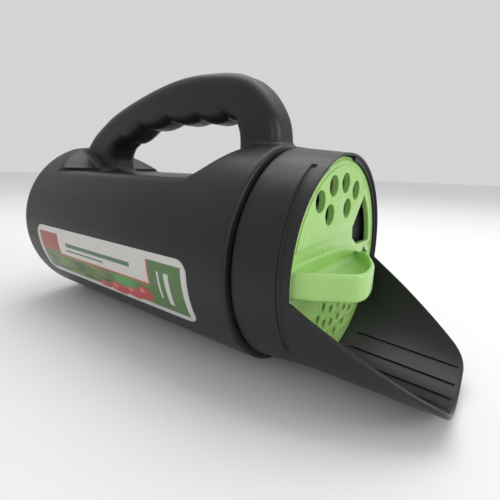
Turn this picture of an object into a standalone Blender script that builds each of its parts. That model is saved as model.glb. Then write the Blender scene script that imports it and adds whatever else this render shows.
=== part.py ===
"""Handheld salt spreader: a bottle with a handle, a screw cap with a pouring chute and a metering dial.

Metres, +Z up, +X towards the chute. The spreader lies on the flat along its belly, and the origin
is the middle of the bounding box's underside.
"""

import math

import bmesh
import bpy
from mathutils import Matrix, Vector

MM = 0.001

# Overall layout, in metres
BODY_RADIUS = 61.25 * MM
AXIS_Z = 60.0 * MM  # the belly flat cuts 1.25 mm off the round body
FRONT_X = 91.2 * MM  # front rim of the cap; every x below is measured from it
BODY_BACK = -242.4 * MM
BODY_FRONT = -29.3 * MM
BACK_ROUND = 15.0 * MM
FRONT_ROUND = 2.0 * MM
WALL = 2.2 * MM

# Neck, thread and seal
NECK_RADIUS = 51.6 * MM
NECK_BORE = 48.8 * MM
NECK_MOUTH = -12.6 * MM
THREAD_PITCH = 6.0 * MM
THREAD_DEPTH = 2.3 * MM
THREAD_ROOT_HALF = 1.2 * MM
THREAD_TIP_HALF = 0.6 * MM
THREAD_STEPS = 32
THREAD_START = 0.05  # radians, so that no thread corner meets a corner of the neck's facets
THREAD_SINK = 0.5 * MM
THREAD_FADE_STEPS = 5
NECK_THREAD = (-25.8 * MM, 1.5)  # where it starts along the axis, turns
CAP_THREAD = (-22.8 * MM, 1.2)
NECK_EDGE = 0.6 * MM
NECK_ROOT = -37.3 * MM  # how far the neck's form reaches into the body
BORE_ROOT = -41.3 * MM
SEAL_THICK = 2.0 * MM
SEAL_RADII = (48.0 * MM, 53.6 * MM)

# Shelf under the handle, heights above the body's axis
SHELF_Z = 41.0 * MM
SHELF_LINE = [(-237, 63.5), (-230, 60.4), (-220, 54.8), (-210, 48.8), (-202.5, 43.6), (-195, 41), (-120, 41),
              (-76, 41), (-69.5, 42.3), (-63.8, 46.4), (-58.6, 51.6), (-53, 56.6), (-47, 58.6), (-24, 58.6)]

# Handle, heights above the body's axis
HANDLE_HALF = 12.5 * MM
HANDLE_ROUND = 5.0 * MM
HANDLE_OUTER = [(-237, 30), (-235, 48), (-217.5, 66), (-200, 76.2), (-180, 84.7), (-145, 94.2),
                (-112, 99.6), (-84, 99.4), (-64, 96.2), (-51.5, 88.6), (-42.5, 77), (-38.8, 66), (-38, 50),
                (-38, 30)]
GRIP_LINE = [(-75, 75.2), (-97, 75.8), (-124, 76.1), (-151, 72.6), (-174, 64.2)]
GRIP_LOBE = 3.0 * MM
LOBE_POINTS = 7
HANDLE_SECTIONS = 54
HANDLE_WALL_SHARE = 1.4  # the handle's wall, in body walls
GAP_FRONT = [(-63.6, 30), (-63.6, 48), (-63.8, 64), (-66.6, 71.8)]
GAP_BACK = [(-184.5, 59.0), (-189.5, 52), (-190, 44), (-190, 30)]

# Cap
CAP_BACK = -28.3 * MM
CAP_BACK_RADIUS = 58.0 * MM
CAP_FRONT_RADIUS = 55.3 * MM
CAP_BORE = 54.6 * MM
DIAL_BORE = 54.1 * MM
END_WALL = (-10.0 * MM, -7.6 * MM)
LIP_RADIUS = 52.4 * MM
LIP_X = (-2.4 * MM, -1.2 * MM)
LIPS_DEG = [(53, 154), (28.5, 40), (-40, -28.5), (-172, -43)]
GROOVE_X = (-7.4 * MM, -4.6 * MM)
GROOVE_DEPTH = 1.0 * MM
GROOVE_DEG = (53, 151)
RIM_CHAMFERS = (0.4 * MM, 0.8 * MM)  # front, back
OUTLET_RADII = (17 * MM, 46 * MM)
OUTLET_HALF_DEG = 44

# Chute
CHUTE_LENGTH = 60.1 * MM
CHUTE_WALL = 2.4 * MM
CHUTE_EDGE = (-7.1 * MM, -0.635, -0.59)  # edge height above the axis: start, slope, curvature per metre
CHUTE_HALF_WIDTHS = (55.3 * MM, 49.7 * MM)
CHUTE_DEPTHS = (55.3 * MM, 57.3 * MM)
CHUTE_CORNER = 7.0 * MM
LIP_SWEEP = 2.2 * MM  # how far the lip's sides stand back from its middle
CHUTE_GROOVE_DEG = (-27, -13.5, 0, 13.5, 27)
CHUTE_GROOVE_X = (4.0 * MM, 57.6 * MM)
CHUTE_GROOVE = (1.2 * MM, 0.8 * MM)  # width, depth

# Metering dial, angles from straight down, positive towards +Y
DIAL_RADIUS = 52.0 * MM
DIAL_FLANGE = 53.7 * MM
DIAL_X = (-7.2 * MM, -2.2 * MM)
FLANGE_FRONT = -2.9 * MM
DIAL_CHAMFER = 0.3 * MM
LARGE_HOLE = 5.1 * MM
LARGE_HOLES = [(43.4, -139.5), (42.4, -159.3), (40.9, -179.2), (39.4, -201), (31.4, -146.4), (28.4, -187.3)]
SMALL_HOLE = 2.3 * MM
SMALL_HOLES = ([(40.5, -29.3 + 15.8 * i) for i in range(5)]
               + [(33.3, -38.7 + 15.8 * i) for i in range(5)]
               + [(25.6, -34.8 + 23.1 * i) for i in range(3)])
PIN_LENGTH = 16.0 * MM  # length of the cutters for the holes
WINDOW_RADIUS = 45.0 * MM
HUB_BORE = 4.2 * MM
HUB_BORE_FRONT = -3.0 * MM
HUB_PIN = 3.9 * MM
HUB_PIN_FRONT = -3.4 * MM

# Finger grip of the dial: plan as (x, y), a sail that is steep on the -Y side
GRIP_PLAN = [(-4, -50.2), (0, -50.2), (17.5, -39.0), (22, -33.5), (22.6, -26), (20.2, -14), (15, -2),
             (8.4, 10), (1.4, 21), (-4, 27)]
GRIP_Z = (-6.5 * MM, 6.0 * MM)
GRIP_EDGE = 1.6 * MM
POCKET_FLOOR = -1.5 * MM
POCKET_INSET = 3.0 * MM
POCKET_ROUND = 2.5 * MM

# Label on the -Y side, angles from straight down
LABEL_X = (-211.0 * MM, -53.0 * MM)
LABEL_DEG = (58.0, 93.0)
LABEL_CORNER = 7.0 * MM
LABEL_THICK = 0.3 * MM
LABEL_RECESS = 0.6 * MM
LABEL_MARGIN = 0.4 * MM  # how much wider the recess is, all round

SEGMENTS = 72
HUB_STEPS = 24
RIM_DEG = 80  # only the square rims of an outline's two faces are rounded
GAP = 0.3 * MM
CUT_REACH = 80.0 * MM  # how far a cutter runs past what it cuts
WELD = 0.001 * MM


def clear_scene():
    for item in list(bpy.data.objects):
        bpy.data.objects.remove(item, do_unlink=True)


def new_collection(name):
    collection = bpy.data.collections.new(name)
    bpy.context.scene.collection.children.link(collection)
    return collection


def material(name, color, roughness, metallic=0.0):
    made = bpy.data.materials.new(name)
    made.use_nodes = True
    shader = made.node_tree.nodes["Principled BSDF"]
    shader.inputs["Base Color"].default_value = (*color, 1.0)
    shader.inputs["Roughness"].default_value = roughness
    shader.inputs["Metallic"].default_value = metallic
    return made


def add_object(name, mesh, collection, place=None):
    made = bpy.data.objects.new(name, mesh)
    collection.objects.link(made)
    made.matrix_world = place or Matrix.Translation((FRONT_X, 0, AXIS_Z))
    return made


def along_x():
    """Turns a piece made about Z so that its Z lies along world X, at the cap's front on the axis."""
    return Matrix.Translation((FRONT_X, 0, AXIS_Z)) @ Matrix.Rotation(math.pi / 2, 4, "Y")


def baked(source, name, collection):
    """The evaluated mesh of an object as a new welded mesh object in the same place."""
    bpy.context.view_layer.update()
    shape = bpy.data.meshes.new_from_object(source.evaluated_get(bpy.context.evaluated_depsgraph_get()))
    cleaner = bmesh.new()
    cleaner.from_mesh(shape)
    bmesh.ops.remove_doubles(cleaner, verts=cleaner.verts, dist=WELD)
    cleaner.to_mesh(shape)
    cleaner.free()
    place = source.matrix_world.copy()
    bpy.data.objects.remove(source, do_unlink=True)
    return add_object(name, shape, collection, place)


def turned(name, profile, collection, angle=2 * math.pi, steps=SEGMENTS):
    """A closed profile of (radius, height) points turned about the X axis of the spreader."""
    mesh = bpy.data.meshes.new(name)
    count = len(profile)
    open_axis = profile[0][0] == 0 and profile[-1][0] == 0
    edges = [(i, i + 1) for i in range(count - 1)]
    if not open_axis:
        edges.append((count - 1, 0))
    mesh.from_pydata([(r, 0, z) for r, z in profile], edges, [])
    made = add_object(name, mesh, collection, along_x())
    screw = made.modifiers.new("turn", "SCREW")
    screw.angle = angle
    screw.steps = steps
    screw.render_steps = steps
    screw.use_merge_vertices = True
    screw.merge_threshold = 10 * WELD
    return made


def round_corner(centre, radius, start_deg, end_deg, count=4):
    """Points of an arc in the (radius, height) plane."""
    turns = [math.radians(start_deg + (end_deg - start_deg) * i / count) for i in range(count + 1)]
    return [(centre[0] + radius * math.cos(t), centre[1] + radius * math.sin(t)) for t in turns]


def smooth_line(points, per_span=4):
    """A Catmull-Rom curve through points."""
    ends = [points[0]] + list(points) + [points[-1]]
    line = []
    for a, b, c, d in zip(ends, ends[1:], ends[2:], ends[3:]):
        for step in range(per_span):
            t = step / per_span
            line.append(tuple(
                q + 0.5 * t * (r - p + t * (2 * p - 5 * q + 4 * r - s + t * (3 * q - p - 3 * r + s)))
                for p, q, r, s in zip(a, b, c, d)))
    line.append(tuple(points[-1]))
    return line


def offset_line(points, distance):
    """Points moved to the left of their direction of travel."""
    moved = []
    for i, point in enumerate(points):
        before = Vector(points[max(i - 1, 0)])
        after = Vector(points[min(i + 1, len(points) - 1)])
        along = (after - before).normalized()
        moved.append((point[0] - along.y * distance, point[1] + along.x * distance))
    return moved


def outline_solid(name, points, half_depth, collection, place, bevel=0.0):
    """A closed 2D outline in its local XY plane, extruded to both sides along its local Z."""
    curve = bpy.data.curves.new(name, "CURVE")
    curve.dimensions = "2D"
    curve.fill_mode = "BOTH"
    curve.extrude = half_depth
    spline = curve.splines.new("POLY")
    spline.points.add(len(points) - 1)
    for target, (u, v) in zip(spline.points, points):
        target.co = (u, v, 0, 1)
    spline.use_cyclic_u = True
    made = baked(add_object(name, curve, collection, place), name, collection)
    if bevel:
        edge = made.modifiers.new("rounded", "BEVEL")
        edge.width = bevel
        edge.segments = 2
        edge.limit_method = "ANGLE"
        edge.angle_limit = math.radians(RIM_DEG)
        made = baked(made, name, collection)
    return made


def side_plane():
    """Local X is world X, local Y is world Z, and local Z points to -Y."""
    return Matrix.Translation((FRONT_X, 0, AXIS_Z)) @ Matrix.Rotation(math.pi / 2, 4, "X")


def front_plane():
    """Local X is world Y, local Y is world Z, and local Z is world X."""
    turn = Matrix(((0, 0, 1, 0), (1, 0, 0, 0), (0, 1, 0, 0), (0, 0, 0, 1)))
    return Matrix.Translation((FRONT_X, 0, AXIS_Z)) @ turn


def plan_plane(z):
    """Seen from above, at a height z above the axis."""
    return Matrix.Translation((FRONT_X, 0, AXIS_Z + z))


def combine(target, other, operation):
    """Unions or cuts one piece with another, which stays in the file as a hidden tool."""
    step = target.modifiers.new(operation.lower(), "BOOLEAN")
    step.operation = operation
    step.object = other
    step.solver = "EXACT"
    other.hide_render = True
    other.display_type = "WIRE"


def joined(name, pieces, collection):
    """One mesh from pieces that don't touch, for cutting with."""
    merged = bmesh.new()
    for piece in pieces:
        part = bmesh.new()
        part.from_mesh(piece.data)
        part.transform(piece.matrix_world)
        spare = bpy.data.meshes.new(name)
        part.to_mesh(spare)
        part.free()
        merged.from_mesh(spare)
        bpy.data.meshes.remove(spare)
        bpy.data.objects.remove(piece, do_unlink=True)
    mesh = bpy.data.meshes.new(name)
    merged.to_mesh(mesh)
    merged.free()
    return add_object(name, mesh, collection, Matrix.Identity(4))


def finish(piece, look, sharp_deg=35):
    piece.data.materials.clear()
    piece.data.materials.append(look)
    piece.data.shade_smooth()
    piece.data.set_sharp_from_angle(angle=math.radians(sharp_deg))


def scaled(points):
    return [(u * MM, v * MM) for u, v in points]


def thread(name, root_radius, depth, start, turns, collection, inward):
    """A helical ridge about the axis, right-handed and tapering in at both ends."""
    steps = int(turns * THREAD_STEPS)
    mesh = bmesh.new()
    rings = []
    side = -1 if inward else 1
    for step in range(steps + 1):
        angle = 2 * math.pi * step / THREAD_STEPS + THREAD_START
        fade = min(1.0, (step + 0.6) / THREAD_FADE_STEPS, (steps - step + 0.6) / THREAD_FADE_STEPS)
        height = start + THREAD_PITCH * step / THREAD_STEPS
        base = root_radius - side * THREAD_SINK
        tip = root_radius + side * depth * fade
        ring = []
        for radius, lift in ((base, -THREAD_ROOT_HALF), (tip, -THREAD_TIP_HALF),
                             (tip, THREAD_TIP_HALF), (base, THREAD_ROOT_HALF)):
            ring.append(mesh.verts.new((radius * math.cos(angle), radius * math.sin(angle), height + lift)))
        rings.append(ring)
    for near, far in zip(rings, rings[1:]):
        for i in range(4):
            j = (i + 1) % 4
            mesh.faces.new((near[i], near[j], far[j], far[i]))
    mesh.faces.new(rings[0])
    mesh.faces.new(rings[-1][::-1])
    bmesh.ops.recalc_face_normals(mesh, faces=mesh.faces)
    made = bpy.data.meshes.new(name)
    mesh.to_mesh(made)
    mesh.free()
    return add_object(name, made, collection, along_x())


def body_profile(inset):
    """Outline of the round body, from the front down its outer side to the back."""
    radius = BODY_RADIUS - inset
    back = BODY_BACK + inset
    front = BODY_FRONT - inset
    front_round = max(FRONT_ROUND - inset, 0.3 * MM)
    back_round = BACK_ROUND - inset
    points = [(0, front)]
    points += round_corner((radius - front_round, front - front_round), front_round, 90, 0, 3)
    points += round_corner((radius - back_round, back + back_round), back_round, 0, -90, 5)
    points.append((0, back))
    return points


def shelf_cutter(inset, collection):
    """What is cut from the top of the body for the fingers."""
    line = smooth_line(scaled(SHELF_LINE), 3)
    if inset:
        line = offset_line(line, -inset)
    points = line + [(line[-1][0], CUT_REACH), (line[0][0], CUT_REACH)]
    return outline_solid("shelf_cut", points, CUT_REACH, collection, side_plane())


def handle_lines(lobe):
    """Side view of the handle from back to front: its outer side, and its finger side with four lobes."""
    front = smooth_line(scaled(GAP_FRONT), 3)
    base = smooth_line(scaled(GRIP_LINE), LOBE_POINTS)
    back = smooth_line(scaled(GAP_BACK), 3)
    waves = [math.sin(math.pi * (i % LOBE_POINTS) / LOBE_POINTS) ** 0.8 for i in range(len(base))]
    grip = [(x, z - lobe * wave) for (x, z), wave in zip(base, waves)]
    return smooth_line(scaled(HANDLE_OUTER), 4), (front + grip + back)[::-1]


def handle_hollow(inset, collection):
    """The space inside the handle."""
    outer, inner = handle_lines(0.0)
    points = offset_line(outer, -inset) + offset_line(inner[::-1], -inset)
    half = HANDLE_HALF - HANDLE_WALL_SHARE * inset
    return outline_solid("handle_hollow", points, half, collection, side_plane())


def spaced(line, count):
    """Points at equal steps along a line."""
    lengths = [0.0]
    for a, b in zip(line, line[1:]):
        lengths.append(lengths[-1] + math.dist(a, b))
    points = []
    for i in range(count):
        reach = lengths[-1] * i / (count - 1)
        at = max(k for k in range(len(line) - 1) if lengths[k] <= reach)
        share = (reach - lengths[at]) / (lengths[at + 1] - lengths[at])
        points.append(Vector(line[at]).lerp(Vector(line[at + 1]), share))
    return points


def handle_form(collection):
    """The handle as a loft of rounded rectangles between its outer side and its finger side."""
    outer, inner = handle_lines(GRIP_LOBE)
    bends = [math.radians(a) for a in (0, 45, 90)]
    side = HANDLE_HALF - HANDLE_ROUND
    mesh = bmesh.new()
    rings = []
    for top, under in zip(spaced(outer, HANDLE_SECTIONS), spaced(inner, HANDLE_SECTIONS)):
        up = (top - under).normalized()
        ring = []
        for middle, sign in ((top - up * HANDLE_ROUND, 1), (under + up * HANDLE_ROUND, -1)):
            for across, turns in ((sign, bends), (-sign, bends[::-1])):
                for turn in turns:
                    point = middle + up * (sign * HANDLE_ROUND * math.sin(turn))
                    y = across * (side + HANDLE_ROUND * math.cos(turn))
                    ring.append(mesh.verts.new((point.x, y, point.y)))
        rings.append(ring)
    for near, far in zip(rings, rings[1:]):
        for i, corner in enumerate(near):
            j = (i + 1) % len(near)
            mesh.faces.new((corner, near[j], far[j], far[i]))
    mesh.faces.new(rings[0])
    mesh.faces.new(rings[-1])
    bmesh.ops.recalc_face_normals(mesh, faces=mesh.faces)
    made = bpy.data.meshes.new("handle_form")
    mesh.to_mesh(made)
    mesh.free()
    return add_object("handle_form", made, collection)


def bottle_solid(inset, collection):
    """The closed outer form of the bottle without its neck, grown inwards by inset."""
    body = baked(turned("body_form", body_profile(inset), collection), "body_form", collection)
    combine(body, shelf_cutter(inset, collection), "DIFFERENCE")
    combine(body, handle_hollow(inset, collection) if inset else handle_form(collection), "UNION")
    return body


def label_sheet(name, depth, thick, grow, collection):
    """A rounded sheet wrapped on the body, its outside depth below the body's surface."""
    low, high = (math.radians(a) for a in LABEL_DEG)
    radius = BODY_RADIUS - depth
    low -= grow / radius
    high += grow / radius
    corner = LABEL_CORNER + grow
    turn = corner / radius
    bend = [turn * (1 - math.cos(math.radians(a))) for a in (0, 30, 50, 70)]
    middle = [low + turn + (high - low - 2 * turn) * i / 10 for i in range(11)]
    mesh = bmesh.new()
    rows = []
    for angle in [low + b for b in bend] + middle + [high - b for b in reversed(bend)]:
        inside = min(corner, (angle - low) * radius, (high - angle) * radius)
        short = corner - math.sqrt(corner ** 2 - (corner - inside) ** 2)
        ends = (LABEL_X[0] - grow + short, LABEL_X[1] + grow - short)
        y, z = -radius * math.sin(angle), -radius * math.cos(angle)
        rows.append([mesh.verts.new((x, y, z)) for x in ends])
    for below, above in zip(rows, rows[1:]):
        mesh.faces.new((below[0], above[0], above[1], below[1]))
    bmesh.ops.recalc_face_normals(mesh, faces=mesh.faces)
    if mesh.faces[0].normal.y > 0:
        bmesh.ops.reverse_faces(mesh, faces=mesh.faces)
    sheet = bpy.data.meshes.new(name)
    mesh.to_mesh(sheet)
    mesh.free()
    made = add_object(name, sheet, collection)
    solid = made.modifiers.new("thick", "SOLIDIFY")
    solid.thickness = thick
    solid.offset = -1
    return baked(made, name, collection)


def belly_cutter(collection):
    """The space below the flat that the bottle lies on."""
    mesh = bpy.data.meshes.new("belly_cut")
    cube = bmesh.new()
    bmesh.ops.create_cube(cube, size=1)
    bmesh.ops.scale(cube, vec=(4 * CUT_REACH, 2 * CUT_REACH, CUT_REACH), verts=cube.verts)
    cube.to_mesh(mesh)
    cube.free()
    return add_object("belly_cut", mesh, collection, Matrix.Translation((0, 0, -CUT_REACH / 2)))


def build_container(parts, cutters, look):
    """Blow-moulded bottle with its hollow handle, neck and outside thread."""
    container = bottle_solid(0.0, parts)
    container.name = "container"
    profile = [(0, NECK_MOUTH), (NECK_RADIUS - NECK_EDGE, NECK_MOUTH),
               (NECK_RADIUS, NECK_MOUTH - NECK_EDGE), (NECK_RADIUS, NECK_ROOT), (0, NECK_ROOT)]
    combine(container, baked(turned("neck_form", profile, cutters), "neck_form", cutters), "UNION")
    ridge = thread("neck_thread", NECK_RADIUS, THREAD_DEPTH, *NECK_THREAD, cutters, False)
    combine(container, ridge, "UNION")
    combine(container, bottle_solid(WALL, cutters), "DIFFERENCE")
    bore = turned("neck_bore", [(0, 0), (NECK_BORE, 0), (NECK_BORE, BORE_ROOT), (0, BORE_ROOT)], cutters)
    combine(container, baked(bore, "neck_bore", cutters), "DIFFERENCE")
    recess = label_sheet("label_recess", -LABEL_RECESS, 2 * LABEL_RECESS, LABEL_MARGIN, cutters)
    combine(container, recess, "DIFFERENCE")
    combine(container, belly_cutter(cutters), "DIFFERENCE")
    finish(container, look)
    return container


def build_seal(parts, look):
    """Flat ring squeezed between the neck's mouth and the cap's end wall."""
    front = END_WALL[0] - GAP
    inner, outer = SEAL_RADII
    seal = turned("sealing_ring", [(inner, front), (outer, front), (outer, front - SEAL_THICK),
                                   (inner, front - SEAL_THICK)], parts)
    finish(seal, look)
    return seal


def sector_outline(radii, degrees, arc_steps=10):
    """Part of a ring seen from the front as (y, z), angles from straight down towards +Y."""
    inner, outer = radii
    start, end = (math.radians(a) for a in degrees)
    angles = [start + (end - start) * i / arc_steps for i in range(arc_steps + 1)]
    outside = [(outer * math.sin(a), -outer * math.cos(a)) for a in angles]
    inside = [(inner * math.sin(a), -inner * math.cos(a)) for a in reversed(angles)]
    return outside + inside


def sector_solid(name, radii, degrees, span, collection, arc_steps=10):
    """A ring sector between two x values."""
    place = front_plane() @ Matrix.Translation((0, 0, (span[0] + span[1]) / 2))
    points = sector_outline(radii, degrees, arc_steps)
    return outline_solid(name, points, (span[1] - span[0]) / 2, collection, place)


def chute_edge_z(x):
    start, slope, curve = CHUTE_EDGE
    return start + slope * x + curve * x * x


def chute_size(x):
    """Half width and depth of the chute's outside at x."""
    share = max(x, 0) / CHUTE_LENGTH
    return [first + (last - first) * share for first, last in (CHUTE_HALF_WIDTHS, CHUTE_DEPTHS)]


def chute_end(angle):
    """Where the chute's wall ends at an angle from straight down: at the lip or at its sloping edge."""
    start, slope, curve = CHUTE_EDGE
    x = 0.0
    for _ in range(12):
        x = (-chute_size(x)[1] * math.cos(angle) - start - curve * x * x) / slope
    lip = CHUTE_LENGTH - LIP_SWEEP * math.sin(angle) ** 2
    blend = max(CHUTE_CORNER - abs(lip - x), 0) / CHUTE_CORNER
    return max(min(lip, x) - blend ** 2 * CHUTE_CORNER / 4, 0.4 * MM)


def chute_solid(collection):
    """Open trough that carries on from the cap's rim and narrows to its lip."""
    mesh = bmesh.new()
    half = math.acos(-chute_edge_z(0) / CHUTE_DEPTHS[0])
    rows = 40
    columns = 6
    back = LIP_X[0]
    grid = []
    for row in range(rows + 1):
        angle = half * math.sin(math.pi / 2 * (2 * row / rows - 1))
        end = chute_end(angle)
        line = []
        for column in range(columns + 1):
            x = back + (end - back) * column / columns
            width, depth = chute_size(x)
            line.append(mesh.verts.new((x, width * math.sin(angle), -depth * math.cos(angle))))
        grid.append(line)
    for low, high in zip(grid, grid[1:]):
        for i in range(columns):
            mesh.faces.new((low[i], low[i + 1], high[i + 1], high[i]))
    bmesh.ops.recalc_face_normals(mesh, faces=mesh.faces)
    lowest = min(mesh.faces, key=lambda face: face.calc_center_median().z)
    if lowest.normal.z > 0:
        bmesh.ops.reverse_faces(mesh, faces=mesh.faces)
    shell = bpy.data.meshes.new("chute_form")
    mesh.to_mesh(shell)
    mesh.free()
    made = add_object("chute_form", shell, collection)
    solid = made.modifiers.new("thick", "SOLIDIFY")
    solid.thickness = CHUTE_WALL
    solid.offset = -1
    return baked(made, "chute_form", collection)


def chute_grooves(collection):
    """Five fine flow lines along the chute's floor."""
    cuts = []
    for degrees in CHUTE_GROOVE_DEG:
        angle = math.radians(degrees)
        ends = []
        for x in CHUTE_GROOVE_X:
            width, depth = chute_size(x)
            y = (width - CHUTE_WALL) * math.sin(angle)
            ends.append(Vector((x, y, (CHUTE_WALL - depth) * math.cos(angle))))
        start, end = ends
        along = (end - start).normalized()
        up = Vector((0, -math.sin(angle), math.cos(angle)))
        across = up.cross(along).normalized()
        up = along.cross(across)
        turn = Matrix((along, across, up)).transposed().to_4x4()
        place = Matrix.Translation((FRONT_X, 0, AXIS_Z)) @ Matrix.Translation((start + end) / 2) @ turn
        mesh = bpy.data.meshes.new("flow_line")
        cube = bmesh.new()
        bmesh.ops.create_cube(cube, size=1)
        sides = ((end - start).length, CHUTE_GROOVE[0], 2 * CHUTE_GROOVE[1])
        bmesh.ops.scale(cube, vec=sides, verts=cube.verts)
        cube.to_mesh(mesh)
        cube.free()
        cuts.append(add_object("flow_line", mesh, collection, place))
    return joined("flow_lines", cuts, collection)


def build_cap(parts, cutters, look):
    """Screw cap with its end wall, snap lips round the dial, outlet window and chute."""
    front_cut, back_cut = RIM_CHAMFERS
    front = [(0, END_WALL[1]), (DIAL_BORE, END_WALL[1]), (DIAL_BORE, 0), (CAP_FRONT_RADIUS - front_cut, 0),
             (CAP_FRONT_RADIUS, -front_cut)]
    back = [(CAP_BACK_RADIUS, CAP_BACK + back_cut), (CAP_BACK_RADIUS - back_cut, CAP_BACK),
            (CAP_BORE, CAP_BACK), (CAP_BORE, END_WALL[0]), (0, END_WALL[0])]
    cap = baked(turned("cap", front + back, parts), "cap", parts)
    combine(cap, chute_solid(cutters), "UNION")
    for start, end in LIPS_DEG:
        span = max(abs(end - start) // 6, 2)
        radii = (LIP_RADIUS, DIAL_BORE + 2 * GAP)
        lip = sector_solid("snap_lip", radii, (-end, -start), LIP_X, cutters, span)
        combine(cap, lip, "UNION")
    inner_thread = thread("cap_thread", CAP_BORE, THREAD_DEPTH, *CAP_THREAD, cutters, True)
    combine(cap, inner_thread, "UNION")
    pin_root = (END_WALL[0] + END_WALL[1]) / 2
    profile = [(0, HUB_PIN_FRONT), (HUB_PIN, HUB_PIN_FRONT), (HUB_PIN, pin_root), (0, pin_root)]
    pin = turned("hub_pin", profile, cutters, steps=HUB_STEPS)
    combine(cap, baked(pin, "hub_pin", cutters), "UNION")
    outlet = sector_solid("outlet_cut", OUTLET_RADII, (-OUTLET_HALF_DEG, OUTLET_HALF_DEG),
                          (END_WALL[0] - WALL, END_WALL[1] + WALL), cutters)
    combine(cap, outlet, "DIFFERENCE")
    taper = (CAP_BACK_RADIUS - CAP_FRONT_RADIUS) / CAP_BACK
    surface = CAP_FRONT_RADIUS + taper * (GROOVE_X[0] + GROOVE_X[1]) / 2
    for side in (-1, 1):
        degrees = sorted(side * d for d in GROOVE_DEG)
        radii = (surface - GROOVE_DEPTH, surface + 3 * GROOVE_DEPTH)
        cut = sector_solid("groove_cut", radii, degrees, GROOVE_X, cutters, 16)
        combine(cap, cut, "DIFFERENCE")
    combine(cap, chute_grooves(cutters), "DIFFERENCE")
    finish(cap, look)
    return cap


def hole_pins(name, places, radius, sides, collection):
    """Cylinders through the dial at (radius in mm, angle in degrees) places."""
    pins = []
    for distance, degrees in places:
        angle = math.radians(degrees)
        y = distance * MM * math.sin(angle)
        z = -distance * MM * math.cos(angle)
        pin = bmesh.new()
        bmesh.ops.create_cone(pin, cap_ends=True, segments=sides, radius1=radius, radius2=radius,
                              depth=PIN_LENGTH)
        mesh = bpy.data.meshes.new(name)
        pin.to_mesh(mesh)
        pin.free()
        place = front_plane() @ Matrix.Translation((y, z, sum(DIAL_X) / 2))
        pins.append(add_object(name, mesh, collection, place))
    return joined(name, pins, collection)


def window_outlines():
    """The two openings of the free-flow setting, on both sides of a thin bar, as (y, z)."""
    def arc(start, end, count=8):
        angles = [math.radians(start + (end - start) * i / count) for i in range(count + 1)]
        return [(WINDOW_RADIUS * math.sin(a), -WINDOW_RADIUS * math.cos(a)) for a in angles]
    upper = scaled([(24.5, 5.6), (16.2, 10.4), (15.0, 16.4)]) + arc(138.5, 96.5)
    lower = scaled([(37.0, 2.6)]) + arc(86.7, 56, 5) + scaled([(25.5, -17.2)])
    return upper, lower


def grip_outline():
    """Plan of the finger grip as (x, y)."""
    return smooth_line(scaled(GRIP_PLAN), 3)


def pocket_outline():
    """Plan of the finger pocket, inside the grip and open towards the dial's face."""
    line = offset_line(smooth_line(scaled(GRIP_PLAN[1:-1]), 3), POCKET_INSET)
    return [point for point in line if point[0] > 0]


def build_dial(parts, cutters, look):
    """Metering dial: perforated disc held by its flange, with a dished finger grip."""
    back, face = DIAL_X
    profile = [(0, face), (DIAL_RADIUS - DIAL_CHAMFER, face), (DIAL_RADIUS, face - DIAL_CHAMFER),
               (DIAL_RADIUS, FLANGE_FRONT), (DIAL_FLANGE, FLANGE_FRONT), (DIAL_FLANGE, back), (0, back)]
    dial = baked(turned("metering_dial", profile, parts), "metering_dial", parts)
    middle = (GRIP_Z[0] + GRIP_Z[1]) / 2
    half = (GRIP_Z[1] - GRIP_Z[0]) / 2
    grip = outline_solid("grip_form", grip_outline(), half, cutters, plan_plane(middle), GRIP_EDGE)
    combine(dial, grip, "UNION")
    reach = GRIP_Z[1] - POCKET_FLOOR
    pocket = outline_solid("pocket_cut", pocket_outline(), reach, cutters, plan_plane(POCKET_FLOOR + reach),
                           POCKET_ROUND)
    combine(dial, pocket, "DIFFERENCE")
    combine(dial, hole_pins("large_holes", LARGE_HOLES, LARGE_HOLE, 24, cutters), "DIFFERENCE")
    combine(dial, hole_pins("small_holes", SMALL_HOLES, SMALL_HOLE, 12, cutters), "DIFFERENCE")
    for points in window_outlines():
        place = front_plane() @ Matrix.Translation((0, 0, sum(DIAL_X) / 2))
        combine(dial, outline_solid("window_cut", points, PIN_LENGTH / 2, cutters, place), "DIFFERENCE")
    bore_root = back - HUB_BORE
    profile = [(0, HUB_BORE_FRONT), (HUB_BORE, HUB_BORE_FRONT), (HUB_BORE, bore_root), (0, bore_root)]
    bore = turned("hub_bore", profile, cutters, steps=HUB_STEPS)
    combine(dial, baked(bore, "hub_bore", cutters), "DIFFERENCE")
    finish(dial, look)
    return dial


def main():
    clear_scene()
    parts = new_collection("handheld_salt_spreader")
    cutters = new_collection("cutters")
    black = material("black_plastic", (0.055, 0.057, 0.060), 0.42)
    cap_black = material("cap_plastic", (0.060, 0.062, 0.066), 0.40)
    green = material("green_plastic", (0.42, 0.66, 0.22), 0.30)
    rubber = material("seal_rubber", (0.04, 0.04, 0.04), 0.75)
    paper = material("label_film", (0.80, 0.80, 0.76), 0.38)
    build_container(parts, cutters, black)
    build_seal(parts, rubber)
    build_cap(parts, cutters, cap_black)
    build_dial(parts, cutters, green)
    label = label_sheet("side_label", LABEL_RECESS - LABEL_THICK - GAP, LABEL_THICK, 0.0, parts)
    finish(label, paper)


main()
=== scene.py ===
"""Looks of the handheld salt spreader: moulded plastic, threads, printed film, light and camera.

Everything is in metres in the frame's own axes. The bottle, cap and dial are meshed here at fine
resolution, and each stands for the plain CAD solid of the same piece.
"""

import math

import bmesh
import bpy
import numpy as np
from mathutils import Matrix, Vector


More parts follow.
